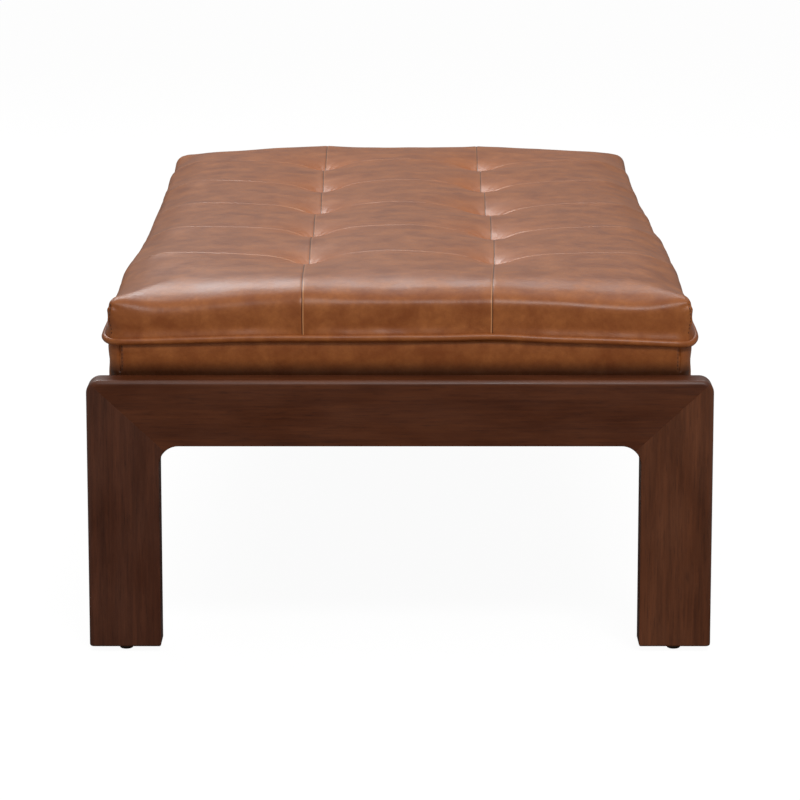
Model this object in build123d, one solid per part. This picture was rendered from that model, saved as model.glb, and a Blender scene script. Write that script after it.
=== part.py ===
from build123d import *
import os
from math import hypot, sqrt

# Ottoman coffee table: a tufted leather seat carried between two wooden end frames.
# Each end frame is a flat bridge of two legs and a top rail, mitred at the corners.
# The seat is a wooden box with a plywood deck, two layers of foam and a sewn leather
# cover. Eight connector bolts hold the box to the end rails from inside.
# X runs across the table, Y along it, Z up. The origin is on the floor, at the centre.
# All lengths are in millimetres.

# The whole table
overall_length = 1422.0
overall_width = 711.0
frame_height = 316.0
overrun = 2.0
tiny = 0.0001

# End frames, in solid hardwood
frame_thickness = 40.0
leg_width = 82.0
rail_height = 76.0
frame_corner_radius = 15.0
frame_fillet_radius = 22.0
outer_edge_round = 6.0
inner_edge_chamfer = 1.5
foot_chamfer = 2.5

# Loose tenons that cross the mitres
tenon_thickness = 10.0
tenon_width = 44.0
tenon_length = 44.0
tenon_clearance = 0.1
tenon_place_share = 0.47

# Nail-on glides
glide_diameter = 16.0
glide_height = 6.0
nail_diameter = 2.4
nail_length = 15.0
nail_clearance = 0.05

# Seat plan below the welt, and its leather
seat_setback = 23.0
seat_corner_radius = 16.0
leather_thickness = 1.3
band_seam_inset = 8.5
hem_width = 30.0

# Seat box and deck
box_rail_thickness = 22.0
box_rail_height = 56.0
box_corner_ease = 0.8
deck_thickness = 12.0
cross_rail_thickness = 20.0
cross_rail_height = 45.0
corner_block_side = 60.0
corner_block_height = 40.0
dust_cover_thickness = 0.5
dust_cover_margin = 10.0

# Connector bolts and the threaded inserts that they turn into
bolts_per_end = 4
bolt_margin = 24.2
bolt_diameter = 8.0
bolt_head_diameter = 17.0
bolt_head_height = 3.0
bolt_length = 42.0
bolt_hole_clearance = 0.25
insert_diameter = 12.0
insert_length = 22.0
insert_clearance = 0.05

# Welt: a leather sleeve round a cord, sewn between the top cover and the band
welt_diameter = 8.0
welt_leather = 1.2
welt_gap = 0.2
cord_clearance = 0.1

# Foam
firm_foam_height = 43.0
foam_gap = 0.3

# Pillow top, from the welt up: swelling sides, round shoulders, and three by six sewn and tufted panels
panels_across = 3
panels_along = 6
pillow_height = 63.0
pillow_bulge = 6.0
bulge_height = 25.0
shoulder_width = 24.0
shoulder_nose = 0.8
edge_drop = 4.5
seam_depth = 4.0
tuft_depth = 16.0
row_draw_in = 2.0
row_crown_drop = 2.5
foot_rise = 5.2
nose_undercut = 13.0
nose_step = 0.2
fold_width = 3.0
fold_height = 1.0
under_out_share = 0.6
under_up_share = 0.42
turn_in_share = 0.27
turn_up_share = 0.63
shoulder_depth_shares = (0.3, 1.0)
beside_tuft_share = 0.22
beside_pull_share = 0.12

# Tuft ties: a twine through the foam, knotted under a button below the deck
twine_diameter = 2.2
twine_clearance = 0.2
button_diameter = 20.0
button_thickness = 2.5
knot_diameter = 5.0
knot_length = 4.0

# Small round pieces have few sides
twine_sides = 6
hardware_sides = 8
glide_sides = 16

# Places that follow from the sizes above
foot_z = glide_height
leg_centre_x = (overall_width - leg_width) / 2
opening_half = overall_width / 2 - leg_width
rail_bottom = frame_height - rail_height
frame_centre_y = (overall_length - frame_thickness) / 2
seat_width = overall_width - 2 * seat_setback
seat_length = overall_length - 2 * frame_thickness
deck_top = frame_height
box_top = deck_top - deck_thickness
box_bottom = box_top - box_rail_height
band_bottom = box_bottom - leather_thickness
seam_z = deck_top + firm_foam_height
seat_height = seam_z + pillow_height
box_width = seat_width - 2 * leather_thickness
box_length = seat_length - 2 * leather_thickness
box_corner_radius = seat_corner_radius - leather_thickness + box_corner_ease
room_width = box_width - 2 * box_rail_thickness
room_length = box_length - 2 * box_rail_thickness
panel_pitch = seat_length / panels_along
tuft_x = seat_width / panels_across / 2
tuft_rows = [(row - panels_along / 2) * panel_pitch for row in range(1, panels_along)]
tuft_places = [(x, y) for y in tuft_rows for x in (-tuft_x, tuft_x)]
bolt_z = box_bottom + box_rail_height / 2
bolt_reach = room_width / 2 - corner_block_side - bolt_margin
bolt_places = [bolt_reach * (2 * place / (bolts_per_end - 1) - 1) for place in range(bolts_per_end)]
ENDS = {"front": -1, "back": 1}
SIDES = {"left": -1, "right": 1}


def prism(outline, bottom, top):
    """An outline, drawn at the origin, as a solid from one height to another."""
    return Pos(0, 0, bottom) * extrude(outline, top - bottom)


def hardware_rod(diameter, start, end, x, z):
    """A rod of few sides from one Y to another."""
    rod = extrude(RegularPolygon(diameter / 2, hardware_sides), abs(end - start))
    return Pos(x, min(start, end), z) * Rot(-90, 0, 0) * rod


def seat_outline(inset):
    """The seat's plan below the welt, taken in all round."""
    radius = seat_corner_radius - inset
    return RectangleRounded(seat_width - 2 * inset, seat_length - 2 * inset, radius)


def outermost(shape, direction):
    """The one solid of a shape that lies furthest in a direction."""
    return max(shape.solids(), key=lambda solid: solid.center().dot(Vector(*direction)))


# End frames

def borders_opening(edge):
    """Whether an edge of a frame lies round its opening and not on its outside."""
    point = edge.center()
    return abs(point.X) < opening_half + tiny and point.Z < rail_bottom + tiny


def frame_blank():
    """One end frame in one piece, centred on Y 0, with its edges eased."""
    height = frame_height - foot_z
    outline = Rectangle(overall_width, height)
    outline = fillet(outline.vertices().group_by(Axis.Y)[-1], frame_corner_radius)
    opening = Pos(0, -rail_height / 2) * Rectangle(2 * opening_half, height - rail_height)
    opening = fillet(opening.vertices().group_by(Axis.Y)[-1], frame_fillet_radius)
    flat = extrude(outline - opening, frame_thickness / 2, both=True)
    blank = Pos(0, 0, foot_z + height / 2) * Rot(90, 0, 0) * flat

    def rim():
        faces = blank.faces().filter_by(Axis.Y)
        return [e for f in faces for e in f.edges() if e.center().Z > foot_z + foot_chamfer]

    blank = fillet([e for e in rim() if not borders_opening(e)], outer_edge_round)
    blank = chamfer([e for e in rim() if borders_opening(e)], inner_edge_chamfer)
    soles = blank.faces().filter_by(Axis.Z).group_by(Axis.Z)[0]
    return chamfer(soles.edges(), foot_chamfer)


def mitre_plane(side):
    """The plane of one mitre, from the inner corner to the outer, facing the leg."""
    along = Vector(side * leg_width, 0, rail_height).normalized()
    return Plane(
        origin=(side * opening_half, 0, rail_bottom),
        x_dir=along,
        z_dir=Vector(0, side, 0).cross(along),
    )


def tenon(side, clearance):
    """A loose tenon across one mitre, or its mortise with a clearance all round."""
    place = hypot(leg_width, rail_height) * tenon_place_share
    grow = 2 * clearance
    bar = Box(tenon_width + grow, tenon_thickness + grow, tenon_length + grow)
    return mitre_plane(side) * (Pos(place, 0, 0) * bar)


def end_frame(end):
    """The legs and the top rail of one end frame, each with its mortises and holes."""
    sign = ENDS[end]
    in_place = Pos(0, sign * frame_centre_y, 0)
    nail_hole = RegularPolygon(nail_diameter / 2 + nail_clearance, hardware_sides)
    nail_hole = prism(nail_hole, foot_z - overrun, foot_z + nail_length + nail_clearance)
    made = {}
    rail = frame_blank()
    for side, out in SIDES.items():
        mortise = tenon(out, tenon_clearance)
        leg = split(rail, bisect_by=mitre_plane(out), keep=Keep.TOP)
        rail = split(rail, bisect_by=mitre_plane(out), keep=Keep.BOTTOM) - mortise
        leg = leg - mortise - Pos(out * leg_centre_x, 0, 0) * nail_hole
        made[f"{end}_{side}_leg"] = in_place * leg
    rail = in_place * rail
    inner_face = sign * seat_length / 2
    for x in bolt_places:
        depth = sign * (insert_length + insert_clearance)
        bore = insert_diameter + 2 * insert_clearance
        rail -= hardware_rod(bore, inner_face - sign * overrun, inner_face + depth, x, bolt_z)
    made[f"{end}_top_rail"] = rail
    return made


def mitre_tenons():
    """The four loose tenons, one in each mitre."""
    places = [(end, side) for end in ENDS.values() for side in SIDES.values()]
    return [Pos(0, end * frame_centre_y, 0) * tenon(side, 0) for end, side in places]


def glides():
    """The nail-on glides: a round pad under each leg, and its nail."""
    places = [(x * leg_centre_x, y * frame_centre_y) for x in (-1, 1) for y in (-1, 1)]
    pad = prism(RegularPolygon(glide_diameter / 2, glide_sides), 0, foot_z)
    nail = prism(RegularPolygon(nail_diameter / 2, hardware_sides), foot_z, foot_z + nail_length)
    return [Pos(x, y, 0) * pad for x, y in places], [Pos(x, y, 0) * nail for x, y in places]


# Seat box

def box_rails():
    """The four rails of the seat box: long side rails, with end rails between them."""
    outside = RectangleRounded(box_width, box_length, box_corner_radius)
    ring = prism(outside - Rectangle(room_width, room_length), box_bottom, box_top)
    between = Box(room_width, overall_length, 2 * frame_height)
    made = {}
    for side, out in SIDES.items():
        made[f"box_{side}_rail"] = outermost(ring - between, (out, 0, 0))
    for end, sign in ENDS.items():
        rail = outermost(ring & between, (0, sign, 0))
        bore = bolt_diameter + 2 * bolt_hole_clearance
        inside = sign * (room_length / 2 - overrun)
        for x in bolt_places:
            rail -= hardware_rod(bore, inside, sign * seat_length / 2, x, bolt_z)
        made[f"box_{end}_rail"] = rail
    return made


def corner_blocks():
    """Three-sided glue blocks in the corners of the seat box, under the deck."""
    x, y = room_width / 2, room_length / 2
    side = corner_block_side
    blocks = []
    for end in ENDS.values():
        for out in SIDES.values():
            corners = [(out * x, end * y), (out * (x - side), end * y), (out * x, end * (y - side))]
            outline = make_face(Polyline(*corners, close=True))
            blocks.append(prism(outline, box_top - corner_block_height, box_top))
    return blocks


def cross_rails():
    """Cross rails on edge under the deck, between the rows of tufts."""
    rail = Rectangle(room_width, cross_rail_thickness)
    rail = prism(rail, box_top - cross_rail_height, box_top)
    return [Pos(0, (a + b) / 2, 0) * rail for a, b in zip(tuft_rows, tuft_rows[1:])]


def deck():
    """The plywood deck, drilled for the tuft ties."""
    outline = RectangleRounded(box_width, box_length, box_corner_radius)
    return prism(outline, box_top, deck_top) - twine_holes(box_top, deck_top)


def dust_cover():
    """The black cloth that closes the underside, over the hem of the leather."""
    width, length = seat_width - 2 * dust_cover_margin, seat_length - 2 * dust_cover_margin
    return prism(Rectangle(width, length), band_bottom - dust_cover_thickness, band_bottom)


# Connector bolts

def connector_bolts():
    """Flat-headed bolts from inside the box, and their inserts in the end rails."""
    bolts, inserts = [], []
    for sign in ENDS.values():
        seat = sign * room_length / 2
        face = sign * seat_length / 2
        for x in bolt_places:
            head = hardware_rod(bolt_head_diameter, seat - sign * bolt_head_height, seat, x, bolt_z)
            shank = hardware_rod(bolt_diameter, seat, seat + sign * bolt_length, x, bolt_z)
            bolts.append(head + shank)
            sleeve = hardware_rod(insert_diameter, face, face + sign * insert_length, x, bolt_z)
            bore_end = face + sign * (insert_length + overrun)
            bore = bolt_diameter + 2 * insert_clearance
            inserts.append(sleeve - hardware_rod(bore, face - sign * overrun, bore_end, x, bolt_z))
    return bolts, inserts


# Leather band and welt

def hem_outline(end):
    """The end strip's share of the hem, mitred from the foot of each corner seam."""
    wide = seat_width / 2 - band_seam_inset
    narrow = wide - hem_width
    edge = end * (seat_length / 2 + overrun)
    face = end * seat_length / 2
    inner = end * (seat_length / 2 - hem_width)
    corners = [(-wide, edge), (wide, edge), (wide, face), (narrow, inner), (-narrow, inner), (-wide, face)]
    return make_face(Polyline(*corners, close=True))


def bands():
    """The leather band below the welt: four strips, sewn near the corners, hemmed below."""
    seam_x = seat_width / 2 - band_seam_inset
    wall = seat_outline(0) - seat_outline(leather_thickness)
    wall = prism(wall, box_bottom, seam_z - welt_leather)
    under = Rectangle(seat_width - 2 * hem_width, seat_length - 2 * hem_width)
    hem = prism(seat_outline(0) - under, band_bottom, box_bottom)
    between = Box(2 * seam_x, overall_length, 2 * frame_height + seam_z)
    end_hems = {end: prism(hem_outline(sign), band_bottom, box_bottom) for end, sign in ENDS.items()}
    made = {}
    for side, out in SIDES.items():
        strip = outermost(wall - between, (out, 0, 0))
        strip += outermost(hem - list(end_hems.values()), (out, 0, 0))
        made[f"{side}_band"] = strip
    for end, sign in ENDS.items():
        strip = outermost(wall & between, (0, sign, 0)) + (hem & end_hems[end])
        inside = sign * (box_length / 2 - overrun)
        outside = sign * (seat_length / 2 + overrun)
        for x in bolt_places:
            bore = bolt_diameter + 2 * bolt_hole_clearance
            strip -= hardware_rod(bore, inside, outside, x, bolt_z)
        made[f"{end}_band"] = strip
    return made


def welt():
    """The welt's leather sleeve, with the flange that is sewn in, and the cord inside it."""
    out = welt_gap + welt_diameter / 2
    path = Pos(0, 0, seam_z) * seat_outline(-out).wire()

    def ring(diameter, sides):
        start = Plane(origin=path @ 0, z_dir=path % 0)
        return sweep(start * RegularPolygon(diameter / 2, sides), path=path)

    flange = seat_outline(-welt_gap - welt_leather / 2) - seat_outline(leather_thickness)
    flange = prism(flange, seam_z - welt_leather, seam_z + welt_leather)
    core = welt_diameter - 2 * welt_leather
    sleeve = ring(welt_diameter, hardware_sides) + flange - ring(core, twine_sides)
    return sleeve, ring(core - 2 * cord_clearance, twine_sides)


# Foam and the tufted top cover

def half_width_at(depth, full, radius):
    """Half the width of a plan with round corners, at a depth in from its end."""
    rest = radius - min(max(depth, 0), radius)
    return full - radius + sqrt(radius * radius - rest * rest)


def sewn_curve(start, middle, end):
    """Leather pulled over the foam, as one arc."""
    return [ThreePointArc(start, middle, end)]


def cut_foam(start, middle, end):
    """Foam cut in two flats, just inside the leather's arc."""
    return [Line(start, middle), Line(middle, end)]


def pillow_section(y, depth, low, pull, inset, bend):
    """One cross-section of the pillow top, as a closed wire.

    The sides stand on the seat's outline, swell, turn over the shoulder and meet three
    crowned panels. The pull is 1 on a row of tufts and 0 far from it.
    """
    swell = pillow_bulge - inset
    half = half_width_at(depth, seat_width / 2 + swell, seat_corner_radius + swell)
    half -= row_draw_in * pull
    foot = half_width_at(depth - pillow_bulge, seat_width / 2 - inset, seat_corner_radius - inset)
    foot = min(foot, half - fold_width)
    foot_top = max(seam_z + foot_rise, low + fold_height)
    bulge_z = seam_z + bulge_height
    run_in = min((depth + shoulder_nose) / (shoulder_width + shoulder_nose), 1)
    rise = sqrt(1 - (1 - run_in) ** 2)

    def lifted(z):
        return bulge_z + rise * (z - inset - bulge_z)

    crown = lifted(seat_height - row_crown_drop * pull)
    seam = lifted(seat_height - seam_depth - (tuft_depth - seam_depth) * pull)
    edge = lifted(seat_height - edge_drop - row_crown_drop * pull)
    profile = [
        (foot, foot_top),
        (foot + (half - foot) * under_out_share, foot_top + (bulge_z - foot_top) * under_up_share),
        (half, bulge_z),
        (half - shoulder_width * turn_in_share, bulge_z + (edge - bulge_z) * turn_up_share),
        (half - shoulder_width, edge),
        ((half - shoulder_width + tuft_x) / 2, crown),
        (tuft_x, seam),
    ]
    points = profile + [(0, crown)] + [(-x, z) for x, z in reversed(profile)]
    points = [(x, y, z) for x, z in points]
    edges = [Line((-foot, y, foot_top), (-foot, y, low)), Line((-foot, y, low), (foot, y, low))]
    edges.append(Line((foot, y, low), (foot, y, foot_top)))
    for start, middle, end in zip(points[::2], points[1::2], points[2::2]):
        edges += bend(start, middle, end)
    return Wire(edges)


def pillow(inset, low, bend):
    """The pillow top as one solid, taken in all round, down to a height under its sides.

    Each station is a depth in from the end, the height that its section goes down to,
    and its pull. The end swells out past the seat, so its first sections hang clear.
    """
    reach = seat_length / 2 + pillow_bulge - inset
    nose = seam_z + nose_undercut + inset
    step = seam_z + foot_rise + inset
    first_row = reach + tuft_rows[0]
    beside = panel_pitch * beside_tuft_share
    stations = [
        (0, nose, 0),
        (pillow_bulge - nose_step, step, 0),
        (pillow_bulge, low, 0),
    ]
    stations += [(pillow_bulge + shoulder_width * share, low, 0) for share in shoulder_depth_shares]
    stations.append((first_row - beside, low, beside_pull_share))
    end = [(depth - reach, depth, low_there, pull) for depth, low_there, pull in stations]
    middle = [(tuft_rows[0], first_row, low, 1)]
    for row in tuft_rows[1:]:
        middle.append((row - panel_pitch + beside, first_row, low, beside_pull_share))
        middle.append((row - beside, first_row, low, beside_pull_share))
        middle.append((row, first_row, low, 1))
    far_end = [(-y, *rest) for y, *rest in reversed(end)]
    sections = [pillow_section(*station, inset, bend) for station in end + middle + far_end]
    return Solid.make_loft(sections, ruled=True)


def twine_holes(bottom, top):
    """Holes for the tuft ties through one layer of the seat."""
    outline = RegularPolygon(twine_diameter / 2 + twine_clearance, twine_sides)
    hole = prism(outline, bottom - overrun, top + overrun)
    return [Pos(x, y, 0) * hole for x, y in tuft_places]


def top_cover():
    """The sewn leather top: the pillow's skin, open below, over the soft topper."""
    low = seam_z + welt_leather
    return pillow(0, low, sewn_curve) - pillow(leather_thickness, low - overrun, sewn_curve)


def soft_topper():
    """The soft foam under the leather top, with the twine holes at the tufts."""
    topper = pillow(leather_thickness + foam_gap, seam_z, cut_foam)
    return topper - twine_holes(seam_z, seat_height)


def firm_foam():
    """The firm foam block between the deck and the topper."""
    block = prism(seat_outline(leather_thickness + foam_gap), deck_top, seam_z)
    return block - twine_holes(deck_top, seam_z)


def tuft_ties():
    """The twines that pull the tufts down, and the buttons that they are knotted under."""
    button_bottom = box_top - button_thickness
    knot_bottom = button_bottom - knot_length
    top = seat_height - tuft_depth - leather_thickness - foam_gap
    twine = prism(RegularPolygon(twine_diameter / 2, twine_sides), knot_bottom, top)
    twine += prism(RegularPolygon(knot_diameter / 2, twine_sides), knot_bottom, button_bottom)
    hole = RegularPolygon(twine_diameter / 2 + twine_clearance, twine_sides)
    button = RegularPolygon(button_diameter / 2, hardware_sides) - hole
    button = prism(button, button_bottom, box_top)
    return [Pos(x, y, 0) * twine for x, y in tuft_places], [Pos(x, y, 0) * button for x, y in tuft_places]


def save(name, made):
    """Writes one node, of one or several separate solids."""
    shapes = made if isinstance(made, list) else [made]
    export_step(Compound([s for shape in shapes for s in shape.solids()]), f"parts/{name}.step")


os.makedirs("parts", exist_ok=True)
nodes = {}
for end in ENDS:
    nodes.update(end_frame(end))
nodes["mitre_tenons"] = mitre_tenons()
nodes["glide_pads"], nodes["glide_nails"] = glides()
nodes.update(box_rails())
nodes["box_corner_blocks"] = corner_blocks()
for number, rail in enumerate(cross_rails(), 1):
    nodes[f"cross_rail_{number}"] = rail
nodes["deck_panel"] = deck()
nodes["dust_cover"] = dust_cover()
nodes["connector_bolts"], nodes["threaded_inserts"] = connector_bolts()
nodes.update(bands())
nodes["welt_sleeve"], nodes["welt_cord"] = welt()
nodes["firm_foam"] = firm_foam()
nodes["soft_topper"] = soft_topper()
nodes["top_cover"] = top_cover()
nodes["tuft_twines"], nodes["tuft_buttons"] = tuft_ties()
for name, made in nodes.items():
    save(name, made)
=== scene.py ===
from math import atan2, copysign, cos, exp, hypot, pi, radians, sin, sqrt

import bmesh
import bpy
from mathutils import Matrix, Vector, noise
from mathutils.bvhtree import BVHTree


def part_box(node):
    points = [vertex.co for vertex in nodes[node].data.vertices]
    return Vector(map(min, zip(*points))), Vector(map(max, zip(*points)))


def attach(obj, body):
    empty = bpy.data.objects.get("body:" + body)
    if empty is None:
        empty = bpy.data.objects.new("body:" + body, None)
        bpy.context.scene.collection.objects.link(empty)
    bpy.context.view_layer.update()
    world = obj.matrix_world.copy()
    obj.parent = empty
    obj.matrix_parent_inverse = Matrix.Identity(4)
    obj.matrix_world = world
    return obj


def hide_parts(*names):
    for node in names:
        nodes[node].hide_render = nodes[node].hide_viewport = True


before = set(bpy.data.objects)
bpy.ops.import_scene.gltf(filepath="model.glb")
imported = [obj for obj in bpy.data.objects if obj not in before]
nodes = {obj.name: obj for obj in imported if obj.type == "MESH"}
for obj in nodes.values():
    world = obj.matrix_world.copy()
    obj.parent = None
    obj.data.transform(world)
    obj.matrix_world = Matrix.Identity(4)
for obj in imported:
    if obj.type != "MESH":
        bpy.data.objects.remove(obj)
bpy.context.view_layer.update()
scene = bpy.context.scene

# The studio: a pale sweep of floor, two soft lamps behind the table that run along its
# shoulder, the left one brighter, one in front of it, and an even light from all round.


def colour(hex_code):
    """An sRGB hex value as linear red, green, blue and alpha."""
    parts = [int(hex_code[i:i + 2], 16) / 255 for i in (1, 3, 5)]
    return [p / 12.92 if p <= 0.04045 else ((p + 0.055) / 1.055) ** 2.4 for p in parts] + [1.0]


def add(tree, kind, settings=None, inputs=None):
    """Adds a node. An input is a value, a hex colour, an output, or a node's first output."""
    made = tree.nodes.new("ShaderNode" + kind)
    for name, value in (settings or {}).items():
        setattr(made, name, value)
    for name, value in (inputs or {}).items():
        if isinstance(value, str):
            value = colour(value)
        if isinstance(value, bpy.types.Node):
            value = value.outputs[0]
        if isinstance(value, bpy.types.NodeSocket):
            tree.links.new(value, made.inputs[name])
        else:
            made.inputs[name].default_value = value
    return made


def maths(tree, operation, *values):
    """One step of arithmetic on values or nodes."""
    return add(tree, "Math", {"operation": operation}, dict(enumerate(values)))


def ramp(tree, value, start, end, low=0.0, high=1.0, rise="LINEAR"):
    """Spreads a value from start to end over low to high."""
    return add(tree, "MapRange", {"interpolation_type": rise}, {
        0: value, 1: start, 2: end, 3: low, 4: high})


def blend(tree, share, first, second, how="MIX"):
    """Two colours mixed by a share."""
    return add(tree, "Mix", {"data_type": "RGBA", "blend_type": how}, {
        0: share, 6: first, 7: second}).outputs[2]


def material(name):
    """A new material, its empty node tree, and the place that its textures read."""
    made = bpy.data.materials.new(name)
    made.use_nodes = True
    made.node_tree.nodes.clear()
    return made, made.node_tree, add(made.node_tree, "TexCoord").outputs["Object"]


def show(name, data):
    """A new object in the scene, at the origin."""
    made = bpy.data.objects.new(name, data)
    scene.collection.objects.link(made)
    return made


floor_half = 14.0
floor_mesh = bpy.data.meshes.new("studio_floor")
bm = bmesh.new()
bmesh.ops.create_grid(bm, x_segments=8, y_segments=8, size=floor_half)
bm.to_mesh(floor_mesh)
bm.free()
floor = show("studio_floor", floor_mesh)

floor_paint, tree, place = material("matt white studio paint")
path = add(tree, "LightPath")
# Gloss sees the pale sweep beside and behind the table, and the dim room in front of it.
axes = add(tree, "SeparateXYZ", inputs={0: place})
behind = ramp(tree, axes.outputs["Y"], -1.0, 0.5)
aside = maths(tree, "ABSOLUTE", axes.outputs["X"])
beside = ramp(tree, aside, 0.6, 1.1)
sweep = maths(tree, "MAXIMUM", behind, beside)
mirrored = blend(tree, sweep, "#1F1E1C", "#B4B2AF")
tone = blend(tree, path.outputs["Is Glossy Ray"], "#B4B2AF", mirrored)
bounce = add(tree, "BsdfDiffuse", inputs={"Color": tone})
seen = add(tree, "Emission", inputs={"Color": "#FFFFFF", "Strength": 0.95})
lit = add(tree, "BsdfDiffuse", inputs={"Color": "#5F5F5F"})
shown = add(tree, "AddShader", inputs={0: seen, 1: lit})
floor_mix = add(tree, "MixShader", inputs={0: path.outputs["Is Camera Ray"], 1: bounce, 2: shown})
add(tree, "OutputMaterial", inputs={"Surface": floor_mix})
floor_mesh.materials.append(floor_paint)

studio = bpy.data.worlds.new("studio")
studio.use_nodes = True
scene.world = studio
tree = studio.node_tree
tree.nodes.clear()
path = add(tree, "LightPath")
# Light comes mostly from the camera's side. Gloss sees the backdrop behind the table, a
# pale ceiling above it, and a dim room in front of it.
facing = add(tree, "TexCoord")
axes = add(tree, "SeparateXYZ", inputs={0: facing.outputs["Generated"]})
dimmer = ramp(tree, axes.outputs["Y"], -0.5, 0.6, 0.07, 0.31)
ceiling = ramp(tree, axes.outputs["Z"], 0.58, 0.90)
room = maths(tree, "ADD", dimmer, ceiling)
fill = ramp(tree, axes.outputs["Y"], -0.9, 0.9, 0.50, 0.12)
level = add(tree, "Mix", {"data_type": "FLOAT"}, {
    0: path.outputs["Is Glossy Ray"], 2: fill, 3: room})
around = add(tree, "Background", inputs={"Color": "#F6F4F1", "Strength": level})
backdrop = add(tree, "Background", inputs={"Color": "#FFFFFF", "Strength": 1.0})
seen = add(tree, "MixShader", inputs={0: path.outputs["Is Camera Ray"], 1: around, 2: backdrop})
add(tree, "OutputWorld", inputs={"Surface": seen})

for name, place, aim, size, power in (
        ("back_softbox", (-1.1, 2.6, 3.3), (-0.1, -0.2, 0.4), (2.2, 1.1), 56.0),
        ("right_softbox", (0.95, 2.6, 3.3), (0.1, -0.2, 0.4), (1.8, 1.1), 16.0),
        ("front_softbox", (0.75, -3.0, 2.9), (0.1, -0.5, 0.4), (1.6, 0.8), 46.0)):
    lamp = bpy.data.lights.new(name, "AREA")
    lamp.shape = "RECTANGLE"
    lamp.size, lamp.size_y = size
    lamp.energy = power
    holder = show(name, lamp)
    holder.location = place
    holder.rotation_euler = (Vector(aim) - Vector(place)).to_track_quat("-Z", "Y").to_euler()

lens = bpy.data.cameras.new("camera")
lens.sensor_width = 36.0
lens.lens = 167.5
lens.clip_end = 60.0
camera = show("camera", lens)
camera.location = (0.0, -4.844, 1.0866)
camera.rotation_euler = (radians(90 - 10.859), 0.0, 0.0)
scene.camera = camera
scene.view_settings.view_transform = "Standard"

# End frames: two flat bridges of solid hardwood, each a left leg, a right leg and a top
# rail mitred at the corners, stained walnut brown and sprayed with satin lacquer. The
# outer edges are rounded over, and the mitres show as fine lines where the grain turns.
half_width = 0.3555
frame_top = 0.316
foot = 0.006
leg_inner = 0.2735
rail_under = 0.240
frame_middle = 0.691
frame_depth = 0.040
outer_corner = 0.015
inner_corner = 0.022
corner_steps = 10
outer_round = 0.0060
foot_round = 0.0025
inner_ease = 0.0012
mitre_ease = 0.00012


def piece_from(bm, name, finish, rounded=True):
    """A finished piece from a bmesh in place: outward faces, smooth shading when rounded, one
    material.
    """
    bmesh.ops.recalc_face_normals(bm, faces=bm.faces)
    for face in bm.faces:
        face.smooth = rounded
    mesh = bpy.data.meshes.new(name)
    bm.to_mesh(mesh)
    bm.free()
    mesh.materials.append(finish)
    piece = show(name, mesh)
    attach(piece, "root")
    return piece


def round_edges(bm, edges, offset, segments, affect="EDGES"):
    """Rounds edges or corner points over by the offset."""
    bmesh.ops.bevel(bm, geom=edges, offset=offset, offset_type="OFFSET", affect=affect,
                    segments=segments, profile=0.5, material=-1, clamp_overlap=True)


def speckle(tree, place, scale, detail=2.0, roughness=0.5, distortion=0.0):
    """Noise with a given number of cells to the metre."""
    return add(tree, "TexNoise", inputs={
        "Vector": place, "Scale": scale, "Detail": detail, "Roughness": roughness,
        "Distortion": distortion})


def streaks(tree, place, stretch, detail, roughness, distortion=0.0):
    """Noise drawn out along the grain: stretch is its cells to the metre along each axis."""
    drawn = add(tree, "Mapping", inputs={"Vector": place, "Scale": stretch})
    return speckle(tree, drawn, 1.0, detail, roughness, distortion)


def relief(tree, height, strength, distance, under=None):
    """A bump in the surface, over the one under it."""
    inputs = {"Height": height, "Strength": strength, "Distance": distance}
    return add(tree, "Bump", inputs=inputs | ({"Normal": under} if under else {}))


def surface(tree, base, roughness, extra):
    """Ends a material: its colour, its roughness and what else its surface has."""
    skin = add(tree, "BsdfPrincipled", inputs={"Base Color": base, "Roughness": roughness} | extra)
    add(tree, "OutputMaterial", inputs={"Surface": skin})


def stained_wood(name, grain_turn, shift, dark, light):
    """Stained hardwood under satin lacquer, with its grain along one axis of the piece."""
    wood, tree, place = material(name)
    # Turned so that the pattern's X runs along the grain.
    turned = add(tree, "Mapping", inputs={
        "Vector": place, "Rotation": grain_turn, "Location": shift})
    # Annual bands about 9 mm apart, drawn out along the grain over some 300 mm.
    bands = streaks(tree, turned, (3.2, 55, 55), 5.0, 0.62, 0.55)
    # Blotches where the stain took more or less, 60 to 90 mm long.
    blotch = streaks(tree, turned, (9, 24, 24), 3.0, 0.5)
    # Fine figure: lines about 3 mm apart and 80 mm long.
    figure = streaks(tree, turned, (13, 330, 330), 4.0, 0.7, 0.3)
    # Pores: 1.4 mm across, coarser than real ones so that they show, and 22 mm long.
    pores = streaks(tree, turned, (45, 700, 700), 2.0, 0.6)
    lines = add(tree, "Mix", {"data_type": "FLOAT"}, {0: 0.45, 2: bands, 3: figure})
    band_share = ramp(tree, lines, 0.38, 0.62)
    blotch_share = ramp(tree, blotch, 0.30, 0.70)
    pore_share = ramp(tree, pores, 0.57, 0.72)
    ground = blend(tree, band_share, dark, light)
    depth = blend(tree, blotch_share, "#CFC5C1", "#FFFFFF")
    stained = blend(tree, 0.85, ground, depth, "MULTIPLY")
    dark_pores = maths(tree, "MULTIPLY", pore_share, 0.40)
    final = blend(tree, dark_pores, stained, "#33190F")
    gloss = ramp(tree, blotch, 0.3, 0.7, 0.34, 0.46)
    open_pores = relief(tree, pores, 0.10, 0.0006)
    surface(tree, final, gloss, {"IOR": 1.5, "Normal": open_pores})
    return wood


upright = (0, radians(90), 0)
left_walnut = stained_wood("satin-lacquered stained hardwood, left legs", upright, (0.3, 0.1, 0),
                           "#532C1B", "#6D3C25")
right_walnut = stained_wood("satin-lacquered stained hardwood, right legs", upright,
                            (0.1, 0.6, 0.3), "#60341C", "#7C4526")
level_walnut = stained_wood("satin-lacquered stained hardwood, rails", (0, 0, 0),
                            (0.05, 0.42, 0.17), "#592B13", "#713B1B")


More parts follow.
